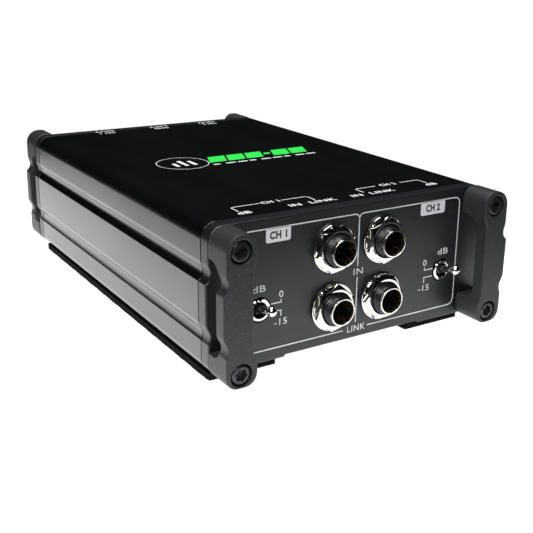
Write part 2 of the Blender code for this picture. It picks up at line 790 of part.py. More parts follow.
def make_board_link():
    """Flat ribbon jumper from the main board's rear edge up to the rear board."""
    thickness = 0.9 * MM
    bottom = JACK_MIDDLE_Z + BOARD / 2 + GAP
    front, rear = 30 * MM, REAR_BOARD_Y - GAP
    top = bottom + 6 * MM
    outer = [(front, bottom), (front, bottom + thickness), (rear - 6 * MM, top), (rear, top)]
    inner = [(rear, top - thickness), (rear - 5.6 * MM, top - thickness), (front + 2 * MM, bottom)]
    mesh = strip_mesh(outer + inner, -10 * MM, 10 * MM)
    add_object("board_link", mesh, RIBBON_GREY)


def make_transformers():
    bottom = JACK_MIDDLE_Z + BOARD / 2 + GAP
    width, length, height = TRANSFORMER
    mesh = block_mesh((-width / 2, -length / 2, 0), (width / 2, length / 2, height))
    for side_name, side in SIDES.items():
        can = add_object(f"transformer_{side_name}", mesh, SHIELD_CAN, (side * 19 * MM, -20 * MM, bottom))
        bevel = can.modifiers.new("rounded_edges", "BEVEL")
        bevel.width = 1.6 * MM
        bevel.segments = 2
        smooth(can)


# ---------------------------------------------------------------- base pads

def make_base_pads():
    for (name, _), (low, high) in zip(SIDES.items(), PAD_X):
        mesh = block_mesh((low, PAD_Y[0], 0), (high, PAD_Y[1], PAD_THICKNESS))
        add_object(f"base_pad_{name}", mesh, RUBBER)


make_case()
make_panels()
make_brackets()
make_jacks()
make_switches()
make_outputs()
make_boards()
make_board_link()
make_transformers()
make_base_pads()
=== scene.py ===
"""Looks of the stereo direct box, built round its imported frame. Metres, +Z up, front panel at -Y."""

import json
import math

import bmesh
import bpy
from mathutils import Matrix, Vector


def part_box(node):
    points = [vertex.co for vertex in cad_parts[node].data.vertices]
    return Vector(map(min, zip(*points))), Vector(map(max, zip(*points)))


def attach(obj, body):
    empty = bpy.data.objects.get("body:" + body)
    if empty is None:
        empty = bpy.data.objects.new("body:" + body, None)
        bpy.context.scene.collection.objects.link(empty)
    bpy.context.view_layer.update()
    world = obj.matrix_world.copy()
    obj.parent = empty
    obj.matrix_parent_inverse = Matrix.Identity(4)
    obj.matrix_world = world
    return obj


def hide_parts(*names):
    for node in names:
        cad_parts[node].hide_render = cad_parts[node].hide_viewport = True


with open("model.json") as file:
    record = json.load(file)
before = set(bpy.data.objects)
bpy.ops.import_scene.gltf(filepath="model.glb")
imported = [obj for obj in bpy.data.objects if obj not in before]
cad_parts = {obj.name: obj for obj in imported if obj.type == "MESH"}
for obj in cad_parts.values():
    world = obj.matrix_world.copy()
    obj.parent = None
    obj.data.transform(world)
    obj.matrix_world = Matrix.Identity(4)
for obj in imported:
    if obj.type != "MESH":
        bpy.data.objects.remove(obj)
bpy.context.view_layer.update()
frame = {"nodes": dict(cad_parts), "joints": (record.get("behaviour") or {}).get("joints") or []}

MM = 0.001
NODES = frame["nodes"]
BODY = "case"
SIDES = {"left": -1, "right": 1}
ENDS = {"front": -1, "rear": 1}
GAP = 0.3 * MM  # space between pieces that fit together

CASE_LOW, CASE_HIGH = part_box("case_extrusion")
HALF_WIDTH, BOTTOM, TOP = CASE_HIGH.x, CASE_LOW.z, CASE_HIGH.z
PANEL_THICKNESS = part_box("front_panel")[1].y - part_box("front_panel")[0].y
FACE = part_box("rear_panel")[1].y  # |y| of both panels' outer faces
BRACKET_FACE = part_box("corner_bracket_rear_left")[1].y
BRACKET_DEPTH = BRACKET_FACE - FACE


def centre_of(node):
    low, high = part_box(node)
    return (low + high) / 2


# ---------------------------------------------------------------- materials

class Shader:
    """A Principled material with short ways to add noise, ramps and bump in metres."""

    def __init__(self, name, color, roughness, metallic=0.0, specular=0.5):
        self.material = bpy.data.materials.new(name)
        self.material.use_nodes = True
        self.nodes = self.material.node_tree.nodes
        self.links = self.material.node_tree.links
        self.principled = self.nodes["Principled BSDF"]
        self.set("Base Color", (*color, 1.0))
        self.set("Roughness", roughness)
        self.set("Metallic", metallic)
        self.set("Specular IOR Level", specular)
        self.last_bump = None

    def set(self, socket, value):
        self.principled.inputs[socket].default_value = value

    def node(self, kind, **values):
        made = self.nodes.new(kind)
        for key, value in values.items():
            if hasattr(made, key):
                setattr(made, key, value)
            else:
                made.inputs[key.replace("_", " ")].default_value = value
        return made

    def noise(self, size, detail=3.0, stretch=(1, 1, 1)):
        """Noise whose grain is about `size` metres, longer along an axis whose stretch is over 1."""
        coordinates = self.node("ShaderNodeTexCoord")
        mapping = self.node("ShaderNodeMapping")
        mapping.inputs["Scale"].default_value = [1 / (size * s) for s in stretch]
        self.links.new(coordinates.outputs["Object"], mapping.inputs["Vector"])
        noise = self.node("ShaderNodeTexNoise", Scale=1.0, Detail=detail)
        self.links.new(mapping.outputs["Vector"], noise.inputs["Vector"])
        return noise.outputs["Fac"]

    def range(self, source, low, high):
        """The middle of the source's values, spread from low to high."""
        spread = self.node("ShaderNodeMapRange")
        for socket, value in zip(("From Min", "From Max", "To Min", "To Max"), (0.3, 0.7, low, high)):
            spread.inputs[socket].default_value = value
        self.links.new(source, spread.inputs["Value"])
        return spread.outputs["Result"]

    def mottle(self, source, low, high, start=0.3, end=0.7):
        """Base colour between two colours, by the source's value."""
        ramp = self.node("ShaderNodeValToRGB")
        ramp.color_ramp.elements[0].position = start
        ramp.color_ramp.elements[1].position = end
        ramp.color_ramp.elements[0].color = (*low, 1)
        ramp.color_ramp.elements[1].color = (*high, 1)
        self.links.new(source, ramp.inputs["Fac"])
        self.links.new(ramp.outputs["Color"], self.principled.inputs["Base Color"])

    def rough(self, source, low, high):
        self.links.new(self.range(source, low, high), self.principled.inputs["Roughness"])

    def bump(self, source, depth):
        """Adds relief of about `depth` metres."""
        bump = self.node("ShaderNodeBump")
        bump.inputs["Strength"].default_value = 1.0
        bump.inputs["Distance"].default_value = depth
        self.links.new(source, bump.inputs["Height"])
        if self.last_bump:
            self.links.new(self.last_bump, bump.inputs["Normal"])
        self.last_bump = bump.outputs["Normal"]
        self.links.new(self.last_bump, self.principled.inputs["Normal"])


def anodised():
    s = Shader("black_anodised_grain", (0.0025, 0.003, 0.0032), 0.24, specular=0.82)
    grain = s.noise(0.10 * MM, 4)
    lines = s.noise(0.16 * MM, 3, (1, 260, 1))
    cloud = s.noise(22 * MM, 4, (1, 2.5, 1))
    s.rough(cloud, 0.21, 0.28)
    s.mottle(grain, (0.0015, 0.002, 0.0022), (0.004, 0.0048, 0.005))
    s.bump(grain, 0.004 * MM)
    s.bump(lines, 0.003 * MM)
    return s.material


def brushed_panel():
    s = Shader("dark_grey_brushed", (0.008, 0.0095, 0.0102), 0.36, specular=0.66)
    lines = s.noise(0.13 * MM, 4, (190, 1, 1))
    broad = s.noise(0.7 * MM, 3, (120, 1, 1))
    s.mottle(lines, (0.005, 0.0062, 0.0068), (0.013, 0.0152, 0.0162), 0.35, 0.7)
    s.rough(broad, 0.32, 0.42)
    s.bump(lines, 0.006 * MM)
    return s.material


def textured_coat():
    s = Shader("textured_black_coat", (0.03, 0.032, 0.033), 0.5)
    grit = s.noise(0.28 * MM, 5)
    lumps = s.noise(1.6 * MM, 3)
    s.mottle(grit, (0.01, 0.0112, 0.0118), (0.056, 0.06, 0.062), 0.38, 0.72)
    s.rough(grit, 0.42, 0.6)
    s.bump(lumps, 0.03 * MM)
    s.bump(grit, 0.045 * MM)
    return s.material


def chrome():
    s = Shader("chrome_polish", (0.86, 0.84, 0.80), 0.07, 1.0)
    s.rough(s.noise(2.2 * MM, 4), 0.049, 0.105)
    s.bump(s.noise(0.5 * MM, 3), 0.0003 * MM)
    return s.material


def bronze_bore_painted_shade():
    s = Shader("dark_bronze_bore", (0.6, 0.41, 0.24), 0.34, 1.0)
    lines = s.noise(0.45 * MM, 4, (1, 14, 1))
    # Painted colour: near-black streaks are painted shade deep in the bore, bright bronze streaks are painted
    # reflections along it.
    s.mottle(lines, (0.02, 0.013, 0.008), (0.95, 0.7, 0.42), 0.46, 0.68)
    s.bump(lines, 0.01 * MM)
    return s.material


def black_moulding(name="black_moulding", roughness=0.42):
    s = Shader(name, (0.012, 0.012, 0.013), roughness)
    grain = s.noise(0.2 * MM, 4)
    s.mottle(grain, (0.008, 0.008, 0.009), (0.017, 0.017, 0.018))
    s.rough(s.noise(1.5 * MM), roughness - 0.08, roughness + 0.1)
    s.bump(grain, 0.01 * MM)
    return s.material


def black_oxide():
    s = Shader("black_oxide_steel", (0.06, 0.062, 0.065), 0.24, 0.7)
    grain = s.noise(0.18 * MM, 4)
    s.mottle(grain, (0.035, 0.037, 0.039), (0.09, 0.094, 0.098))
    s.rough(s.noise(0.8 * MM), 0.18, 0.32)
    s.bump(grain, 0.006 * MM)
    return s.material


def rubber():
    s = Shader("textured_black_rubber", (0.009, 0.009, 0.0095), 0.9, specular=0.07)
    grain = s.noise(0.35 * MM, 5)
    s.mottle(grain, (0.004, 0.004, 0.0045), (0.014, 0.014, 0.015))
    s.bump(s.noise(1.1 * MM, 2), 0.12 * MM)
    s.bump(grain, 0.05 * MM)
    return s.material


def ink(name, color):
    s = Shader(name, color, 0.5)
    spots = s.noise(0.12 * MM, 3)
    s.mottle(spots, [c * 0.82 for c in color], [min(1, c * 1.1) for c in color], 0.25, 0.6)
    s.bump(spots, 0.004 * MM)
    return s.material


def metal_finish(name, color, roughness):
    s = Shader(name, color, roughness, 1.0)
    noise = s.noise(0.25 * MM, 4, (6, 1, 1))
    s.mottle(noise, [c * 0.8 for c in color], [min(1, c * 1.12) for c in color])
    s.rough(s.noise(1.4 * MM), roughness * 0.8, roughness * 1.3)
    s.bump(noise, 0.004 * MM)
    return s.material


def plastic_finish(name, color, roughness):
    s = Shader(name, color, roughness)
    noise = s.noise(0.2 * MM, 4)
    s.mottle(noise, [c * 0.75 for c in color], [min(1, c * 1.2) for c in color])
    s.bump(noise, 0.008 * MM)
    return s.material


def circuit_board():
    """Solder mask over tracks: a brick pattern stands for runs of copper under green."""
    s = Shader("solder_mask_green", (0.01, 0.1, 0.04), 0.35)
    coordinates = s.node("ShaderNodeTexCoord")
    tracks = s.node("ShaderNodeTexBrick", Scale=160.0)
    tracks.inputs["Color1"].default_value = (0.006, 0.075, 0.03, 1)
    tracks.inputs["Color2"].default_value = (0.008, 0.09, 0.036, 1)
    tracks.inputs["Mortar"].default_value = (0.02, 0.17, 0.07, 1)
    s.links.new(coordinates.outputs["Object"], tracks.inputs["Vector"])
    s.links.new(tracks.outputs["Color"], s.principled.inputs["Base Color"])
    s.bump(s.noise(0.3 * MM), 0.004 * MM)
    return s.material


ANODISED = anodised()
PANEL = brushed_panel()
COAT = textured_coat()
CHROME = chrome()
BORE_PAINTED_SHADE = bronze_bore_painted_shade()
MOULDING = black_moulding()
THREAD = black_moulding("black_thread", 0.34)
OXIDE = black_oxide()
RUBBER = rubber()
INK = ink("pale_grey_ink", (0.78, 0.8, 0.81))
TOP_INK = ink("white_ink", (0.86, 0.87, 0.88))
DARK_INK = ink("dark_ink", (0.03, 0.032, 0.034))
GREEN_INK = ink("green_ink", (0.03, 0.8, 0.09))
SILVER = metal_finish("silver_plate", (0.8, 0.78, 0.73), 0.18)
BRASS = metal_finish("spring_brass", (0.62, 0.45, 0.2), 0.28)
SHIELD = metal_finish("drawn_shield_can", (0.45, 0.46, 0.47), 0.35)
RESIN = plastic_finish("red_resin", (0.25, 0.02, 0.015), 0.45)
RIBBON = plastic_finish("grey_ribbon", (0.3, 0.31, 0.33), 0.6)
BOARD = circuit_board()


# ---------------------------------------------------------------- outlines

def arc(centre, radius, start, end, steps):
    angles = [math.radians(start + (end - start) * i / steps) for i in range(steps + 1)]
    return [(centre[0] + radius * math.cos(a), centre[1] + radius * math.sin(a)) for a in angles]


def circle(centre, radius, steps=64):
    return arc(centre, radius, 0, 360, steps)[:-1]


def inset(loop, distance):
    """A closed outline moved inwards all round; it runs anticlockwise."""
    moved = []
    for i, here in enumerate(loop):
        before, after = Vector(loop[i - 1]), Vector(loop[(i + 1) % len(loop)])
        here = Vector(here)
        normals = [Vector((-d.y, d.x)).normalized() for d in (here - before, after - here)]
        middle = (normals[0] + normals[1]).normalized()
        moved.append(tuple(here + middle * distance / max(0.4, middle.dot(normals[0]))))
    return moved


BAND_TOP_X = HALF_WIDTH - 0.9 * MM
BAND_LOW_X = HALF_WIDTH - 0.7 * MM
TOP_RADIUS = 4.5 * MM
BOTTOM_RADIUS = 3.5 * MM
RECESS_DEPTH = 0.6 * MM
RECESS_HALF_WIDTH = 24.4 * MM
GROOVE_HIGH = {"below": 28.7 * MM, "crease": 31.3 * MM, "above": 34.2 * MM, "x": HALF_WIDTH - 1.5 * MM}
GROOVE_LOW = {"below": 11.3 * MM, "crease": 13.6 * MM, "above": 17.3 * MM, "x": HALF_WIDTH - 1.3 * MM}


def soft_step(start, end, steps=12):
    """Points from start to end that run along the second axis at both ends, with a soft S between."""
    points = []
    for i in range(steps + 1):
        t = i / steps
        across = (end[0] - start[0]) * t * t * (3 - 2 * t)
        points.append((start[0] + across, start[1] + (end[1] - start[1]) * t))
    return points


def groove(levels, x_below, x_above):
    """A groove of the side, upwards: a hollow ledge in to the deepest line, then a soft way out."""
    run, rise = x_below - levels["x"], levels["crease"] - levels["below"]
    radius = (run ** 2 + rise ** 2) / (2 * run)
    angle = math.degrees(math.asin(rise / radius))
    points = arc((levels["x"] + radius, levels["crease"]), radius, 180 + angle, 180, 10)
    return points + soft_step((levels["x"], levels["crease"]), (x_above, levels["above"]), 14)[1:]


def side_profile():
    """The right side of the case, from the bottom corner up to the top corner."""
    points = arc((BAND_LOW_X - BOTTOM_RADIUS, BOTTOM + BOTTOM_RADIUS), BOTTOM_RADIUS, -90, 0, 14)
    points += groove(GROOVE_LOW, BAND_LOW_X, HALF_WIDTH)
    points += groove(GROOVE_HIGH, HALF_WIDTH, BAND_TOP_X)
    return points + arc((BAND_TOP_X - TOP_RADIUS, TOP - TOP_RADIUS), TOP_RADIUS, 0, 90, 18)


def mirrored(half):
    return half + [(-x, z) for x, z in reversed(half)]


def case_outline():
    recess = [(RECESS_HALF_WIDTH, BOTTOM + RECESS_DEPTH), (RECESS_HALF_WIDTH + RECESS_DEPTH, BOTTOM)]
    return mirrored(recess + side_profile())


# ---------------------------------------------------------------- mesh pieces

def new_piece(name, edit, materials, stands_for, body=BODY, angle=30):
    """Turns a bmesh in world metres into a piece that rides on a body and stands for CAD nodes."""
    bmesh.ops.recalc_face_normals(edit, faces=edit.faces)
    mesh = bpy.data.meshes.new(name)
    edit.to_mesh(mesh)
    edit.free()
    for material in materials:
        mesh.materials.append(material)
    mesh.shade_smooth()
    mesh.set_sharp_from_angle(angle=math.radians(angle))
    place_piece(name, mesh, stands_for, body)


def place_piece(name, mesh, stands_for, body=BODY):
    piece = bpy.data.objects.new(name, mesh)
    bpy.context.scene.collection.objects.link(piece)
    weighted = piece.modifiers.new("even_shading", "WEIGHTED_NORMAL")
    weighted.keep_sharp = True
    weighted.weight = 80
    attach(piece, body)
    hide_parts(*stands_for)


def ring(edit, points):
    return [edit.verts.new(p) for p in points]


def bridge(edit, rings, closed=False, material_of=None):
    """Quads between rings of the same length; a ring of one point is a pole."""
    pairs = list(zip(rings, rings[1:]))
    if closed:
        pairs.append((rings[-1], rings[0]))
    for number, (first, second) in enumerate(pairs):
        count = max(len(first), len(second))
        for i in range(count):
            j = (i + 1) % count
            corners = []
            for row, order in ((first, (i, j)), (second, (j, i))):
                corners += [row[k] for k in order] if len(row) > 1 else [row[0]]
            face = edit.faces.new(corners)
            face.material_index = material_of(number) if material_of else 0


def plate(edit, loops, low, high, edge_low, edge_high, steps=6):
    """A flat piece across the box from y=low to y=high, with its rims rounded by the radii given
    for each loop. The first loop runs anticlockwise; the others are holes."""
    caps = {"low": [], "high": []}
    for number, loop in enumerate(loops):
        sign = 1 if number == 0 else -1
        rings = []
        rims = (("low", edge_low[number], low, 1), ("high", edge_high[number], high, -1))
        for which, radius, y, way in rims:
            levels = []
            for i in range(steps + 1):
                a = math.radians(90 * i / steps)
                moved = inset(loop, sign * radius * (1 - math.sin(a)))
                levels.append(ring(edit, [(x, y + way * radius * (1 - math.cos(a)), z) for x, z in moved]))
            caps[which].append(levels[0])
            rings += levels if which == "low" else levels[::-1]
        bridge(edit, rings)
    for cap in caps.values():
        edges = [edit.edges.get((row[i], row[(i + 1) % len(row)])) for row in cap for i in range(len(row))]
        bmesh.ops.triangle_fill(edit, edges=edges, use_beauty=True)


def outward(end, place=(0, 0, 0)):
    """Turns +Z to point out of the front or rear panel, with local +Y up, and moves to a place."""
    turn = Matrix.Rotation(math.radians(90), 4, "X")
    if end > 0:
        turn = Matrix.Rotation(math.radians(-90), 4, "X") @ Matrix.Rotation(math.pi, 4, "Z")
    return Matrix.Translation(place) @ turn


def turned(edit, stations, matrix, sides, closed=False, material_of=None):
    """A turned shape from (height, radius) stations. A radius may be a function of angle and height."""
    rings = []
    for height, radius in stations:
        if radius == 0:
            rings.append(ring(edit, [matrix @ Vector((0, 0, height))]))
            continue
        points = []
        for i in range(sides):
            a = 2 * math.pi * i / sides
            r = radius(a, height) if callable(radius) else radius
            points.append(matrix @ Vector((r * math.cos(a), r * math.sin(a), height)))
        rings.append(ring(edit, points))
    bridge(edit, rings, closed, material_of)


def rim(outer, height, radius, steps=4):
    """Stations that round an outer edge on the way up to a height."""
    angles = [math.radians(90 * i / steps) for i in range(steps + 1)]
    return [(height - radius + radius * math.sin(a), outer - radius * (1 - math.cos(a))) for a in angles]


def block(edit, low, high, radius):
    """A box with rounded edges."""
    made = bmesh.ops.create_cube(edit, size=1)["verts"]
    low, high = Vector(low), Vector(high)
    bmesh.ops.scale(edit, vec=high - low, verts=made)
    bmesh.ops.translate(edit, vec=(low + high) / 2, verts=made)
    edges = list({edge for vert in made for edge in vert.link_edges})
    bmesh.ops.bevel(edit, geom=edges, offset=radius, segments=3, profile=0.5, affect="EDGES")


# ---------------------------------------------------------------- case and panels

SMALL_EDGE = 0.18 * MM  # rounding of the rims that meet another part
CLEARANCE_HOLE = 1.7 * MM  # radius of the holes that the screws pass through


def build_case():
    edit = bmesh.new()
    inner_x = HALF_WIDTH - 3.4 * MM
    bottom, top = BOTTOM + 2.4 * MM, TOP - 2.2 * MM
    corner = 1.2 * MM
    half = arc((inner_x - corner, bottom + corner), corner, -90, 0, 6)
    half += arc((inner_x - corner, top - corner), corner, 0, 90, 6)
    rounding = [SMALL_EDGE, SMALL_EDGE]
    plate(edit, [case_outline(), mirrored(half)], CASE_LOW.y, CASE_HIGH.y, rounding, rounding, 3)
    new_piece("case_shell", edit, [ANODISED], ["case_extrusion"])


def screw_places(end):
    names = [f"bracket_screw_{end}_{side}_{level}" for side in SIDES for level in ("lower", "upper")]
    return {name: centre_of(name) for name in names}


def build_panel(end_name, holes):
    holes = holes + [circle((p.x, p.z), CLEARANCE_HOLE, 20) for p in screw_places(end_name).values()]
    face = [0.5 * MM] + [0.25 * MM] * len(holes)
    back = [SMALL_EDGE] + [0.05 * MM] * len(holes)
    low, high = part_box(f"{end_name}_panel")
    edges = (face, back) if end_name == "front" else (back, face)
    edit = bmesh.new()
    plate(edit, [case_outline(), *holes], low.y, high.y, *edges)
    new_piece(f"{end_name}_plate", edit, [PANEL], [f"{end_name}_panel"])


JACK_NAMES = ("input_left", "input_right", "thru_left", "thru_right")
JACKS = {name: centre_of(f"jack_housing_{name}") for name in JACK_NAMES}
SWITCHES = {joint["name"].replace("_throw", ""): Vector(joint["pos_m"]) for joint in frame["joints"]}
OUTPUTS = {side: centre_of(f"output_housing_{side}") for side in SIDES}
OUTPUT_RADIUS = 10.6 * MM
BUSHING_RADIUS = 3.3 * MM
JACK_HOLE = 5.0 * MM


def build_panels():
    front = [circle((p.x, p.z), JACK_HOLE) for p in JACKS.values()]
    rear = [circle((p.x, p.z), OUTPUT_RADIUS + GAP, 96) for p in OUTPUTS.values()]
    for p in SWITCHES.values():
        (front if p.y < 0 else rear).append(circle((p.x, p.z), BUSHING_RADIUS + GAP))
    for side in SIDES:
        for level in ("upper", "lower"):
            p = centre_of(f"output_screw_{side}_{level}")
            rear.append(circle((p.x, p.z), CLEARANCE_HOLE, 24))
    build_panel("front", front)
    build_panel("rear", rear)


# ---------------------------------------------------------------- brackets

SCREW_X = centre_of("bracket_screw_front_right_upper").x
SCREW_Z = [centre_of(f"bracket_screw_front_right_{level}").z for level in ("lower", "upper")]
LOBE_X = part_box("corner_bracket_front_right")[0].x
BAR_X = LOBE_X + 1.3 * MM
BAR_BACK = 6.2 * MM
SLOT_Z = (9.6 * MM, 36.3 * MM)
SLOT_RADIUS = 3.0 * MM
SLOT_ARCH = 4.8 * MM  # the wider bend at the slot's upper end
CAST_SWELL = 0.2 * MM  # how far a casting's outline is outside the case's
HEAD_RADIUS = 2.9 * MM
HEAD_HEIGHT = 2.0 * MM
HEAD_TOP = BRACKET_DEPTH - 0.4 * MM
SHANK_RADIUS = 1.3 * MM


def bracket_outline():
    """Front view of a right-hand bracket: the case's side outside, a bar between two lobes inside."""
    lobe = 3.5 * MM
    near, far = 1.8 * MM, 6.6 * MM  # from a screw's axis to the two ends of a lobe's step
    points = side_profile()
    points += arc((LOBE_X + lobe, TOP - lobe), lobe, 90, 180, 14)
    points += soft_step((LOBE_X, SCREW_Z[1] - near), (BAR_X, SCREW_Z[1] - far))
    points += soft_step((BAR_X, SCREW_Z[0] + far), (LOBE_X, SCREW_Z[0] + near))
    return points + arc((LOBE_X + lobe, BOTTOM + lobe), lobe, 180, 270, 14)[:-1]


def cutter(edit):
    bmesh.ops.recalc_face_normals(edit, faces=edit.faces)
    mesh = bpy.data.meshes.new("cutter")
    edit.to_mesh(mesh)
    edit.free()
    helper = bpy.data.objects.new("cutter", mesh)
    bpy.context.scene.collection.objects.link(helper)
    return helper


def cut(piece, helper, operation="DIFFERENCE"):
    modifier = piece.modifiers.new("cut", "BOOLEAN")
    modifier.operation = operation
    modifier.solver = "EXACT"
    modifier.object = helper


def applied(blank, helpers):
    """The mesh of a blank after its modifiers; the blank and its helpers are removed."""
    bpy.context.view_layer.update()
    mesh = bpy.data.meshes.new_from_object(blank.evaluated_get(bpy.context.evaluated_depsgraph_get()))
    for helper in [blank, *helpers]:
        bpy.data.objects.remove(helper, do_unlink=True)
    mesh.materials.clear()
    return mesh


def slot_cutter():
    """The slot behind the bar, along x, open towards the panel."""
    edit = bmesh.new()
    back = BRACKET_FACE - (BRACKET_DEPTH - BAR_BACK)
    low, high = SLOT_Z
    mouth, past = FACE - 1 * MM, 3 * MM
    section = [(mouth, low)]
    section += arc((back - SLOT_RADIUS, low + SLOT_RADIUS), SLOT_RADIUS, -90, 0, 12)
    section += arc((back - SLOT_ARCH, high - SLOT_ARCH), SLOT_ARCH, 0, 90, 16)
    section.append((mouth, high))
    rows = [ring(edit, [(x, y, z) for y, z in section]) for x in (LOBE_X - past, HALF_WIDTH + past)]
    bridge(edit, rows)
    for row in rows:
        edit.faces.new(row)
    return cutter(edit)


def well_cutter(z):
    """The counterbored hole of one screw."""
    edit = bmesh.new()
    start, floor, end = -2 * MM, HEAD_TOP - HEAD_HEIGHT - GAP, BRACKET_DEPTH + 2 * MM
    well = HEAD_RADIUS + 0.4 * MM
    stations = [(start, 0), (start, CLEARANCE_HOLE), (floor, CLEARANCE_HOLE)]
    stations += [(floor, well), (end, well), (end, 0)]
    turned(edit, stations, outward(1, (SCREW_X, FACE, z)), 48)
    return cutter(edit)


def build_brackets():
    """One bracket is cut, remeshed and softened as a casting; the others are its mirror images."""
    edit = bmesh.new()
    square = [0.0]
    plate(edit, [inset(bracket_outline(), -CAST_SWELL)], FACE + GAP, BRACKET_FACE, square, square, 1)
    bmesh.ops.remove_doubles(edit, verts=edit.verts, dist=1e-7)
    blank = cutter(edit)
    helpers = [slot_cutter(), *[well_cutter(z) for z in SCREW_Z]]
    for helper in helpers:
        cut(blank, helper)
    remesh = blank.modifiers.new("casting", "REMESH")
    remesh.mode = "VOXEL"
    remesh.voxel_size = 0.22 * MM
    soften = blank.modifiers.new("soft_edges", "SMOOTH")
    soften.factor = 0.5
    soften.iterations = 6
    mesh = applied(blank, helpers)
    mesh.materials.append(COAT)
    for end_name, end in ENDS.items():
        for side_name, side in SIDES.items():
            copy = mesh.copy()
            copy.transform(Matrix.Diagonal((side, end, 1, 1)))
            if side * end < 0:
                copy.flip_normals()
            copy.shade_smooth()
            name = f"corner_bracket_{end_name}_{side_name}"
            place_piece(f"casting_{end_name}_{side_name}", copy, [name])


# ---------------------------------------------------------------- screws

def lobed(radius, depth):
    """A radius function with six lobes."""
    return lambda a, h: radius - depth * (0.5 + 0.5 * math.cos(6 * a))


def pan_head(edit, matrix, radius, top, height, shank, length):
    """Pan head with a dark six-lobed socket, its black a painted shade, and a plain shank."""
    socket, depth = 0.64 * radius, 0.72 * height
    crown, land = 0.35 * height, 0.72 * radius
    lobe = lobed(socket, 0.2 * socket)
    wall = lobed(socket + 0.05 * MM, 0.2 * socket)
    stations = [
        (top - depth - 0.25 * MM, 0),
        (top - depth, lobed(socket * 0.8, 0.15 * socket)),
        (top - depth + 0.05 * MM, lobe),
        (top - 0.08 * MM, lobe),
        (top, wall),
        (top, lobed(socket + 0.25 * MM, 0.12 * socket)),
        (top, land),
    ]
    for i in range(1, 7):
        a = math.radians(90 * i / 6)
        stations.append((top - crown * (1 - math.cos(a)), land + (radius - land) * math.sin(a)))
    under, tip = top - height, top - height - length
    stations += [(under + 0.1 * MM, radius), (under, radius - 0.1 * MM), (under, shank), (tip, shank)]
    stations += [(tip - 0.4 * MM, shank * 0.6), (tip - 0.4 * MM, 0)]
    # The socket's floor and walls take the black moulding: painted shade in the recess.
    turned(edit, stations, matrix, 72, material_of=lambda n: 1 if n < 4 else 0)


def build_screws():
    for end_name, end in ENDS.items():
        for number, (name, p) in enumerate(screw_places(end_name).items()):
            edit = bmesh.new()
            low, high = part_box(name)
            length = high.y - low.y - 2.4 * MM
            spin = Matrix.Rotation(math.radians(17 + 23 * number), 4, "Z")
            matrix = outward(end, (p.x, end * FACE, p.z)) @ spin
            pan_head(edit, matrix, HEAD_RADIUS, HEAD_TOP, HEAD_HEIGHT, SHANK_RADIUS, length)
            piece = name.replace("bracket_screw", "cap_screw")
            new_piece(piece, edit, [OXIDE, MOULDING], [name])
    for number, (side, level) in enumerate((s, v) for s in SIDES for v in ("upper", "lower")):
        name = f"output_screw_{side}_{level}"
        p = centre_of(name)
        edit = bmesh.new()
        matrix = outward(1, (p.x, FACE, p.z)) @ Matrix.Rotation(math.radians(31 * number), 4, "Z")
        radius, height, length = 2.7 * MM, 1.8 * MM, 7.4 * MM
        pan_head(edit, matrix, radius, GAP + height, height, SHANK_RADIUS, length)
        new_piece(f"flange_screw_{side}_{level}", edit, [OXIDE, MOULDING], [name])


# ---------------------------------------------------------------- jacks

THREAD_RADIUS = 4.7 * MM
THREAD_PITCH = 1.1 * MM
THREAD_DEPTH = 0.3 * MM
BARREL_FRONT = 5.0 * MM
BORE_RADIUS = 3.25 * MM


def threaded(a, height):
    """Radius of a flat-crested thread at an angle and height."""
    turn = (height / THREAD_PITCH - a / (2 * math.pi)) % 1
    return THREAD_RADIUS - THREAD_DEPTH * max(0, 1 - abs(2 * turn - 1) / 0.55)


def build_housing(name, p):
    edit = bmesh.new()
    matrix = outward(-1, (p.x, -FACE, p.z))
    back = -PANEL_THICKNESS - 1.5 * MM
    run_out = BARREL_FRONT - 0.55 * MM
    steps, seat, root = 90, 4.0 * MM, THREAD_RADIUS - 0.3 * MM
    bore_end, seat_end = -16 * MM, -4 * MM
    stations = [(bore_end, 0), (bore_end, BORE_RADIUS), (seat_end, BORE_RADIUS), (seat_end, seat)]
    stations += [(BARREL_FRONT - 0.2 * MM, seat), (BARREL_FRONT, seat + 0.15 * MM)]
    stations += [(BARREL_FRONT, THREAD_RADIUS - 0.5 * MM), (run_out, THREAD_RADIUS - 0.12 * MM)]
    stations += [(run_out - (run_out - 0.4 * MM) * i / steps, threaded) for i in range(1, steps + 1)]
    stations += [(0.2 * MM, root), (back, root), (back, 0)]
    turned(edit, stations, matrix, 96)
    low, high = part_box(f"jack_housing_{name}")
    block(edit, (low.x, -FACE + PANEL_THICKNESS + GAP, low.z), high, 0.5 * MM)
    new_piece(f"jack_barrel_{name}", edit, [THREAD], [f"jack_housing_{name}"], angle=50)


def build_sleeve(name, p):
    """Plated rim in front of the barrel and the dull tube that lines the bore, its colour streaked with
    painted shade and painted reflections.
    """
    edit = bmesh.new()
    matrix = outward(-1, (p.x, -FACE, p.z))
    front, back, tube_end = BARREL_FRONT + 0.9 * MM, BARREL_FRONT + GAP, -3.5 * MM
    outer, lead_in, tube = 4.1 * MM, 3.68 * MM, 3.7 * MM
    stations = [(back, outer)] + rim(outer, front, 0.1 * MM)
    stations += [(front, lead_in + 0.05 * MM), (front - 0.08 * MM, lead_in)]
    plated = len(stations) - 1
    stations += [(front - 0.3 * MM, lead_in - 0.02 * MM), (front - 1.6 * MM, BORE_RADIUS)]
    stations += [(tube_end, BORE_RADIUS), (tube_end, tube), (back, tube)]
    turned(edit, stations, matrix, 96, closed=True, material_of=lambda n: 0 if n < plated else 1)
    new_piece(f"jack_rim_{name}", edit, [CHROME, BORE_PAINTED_SHADE], [f"jack_sleeve_ring_{name}"])


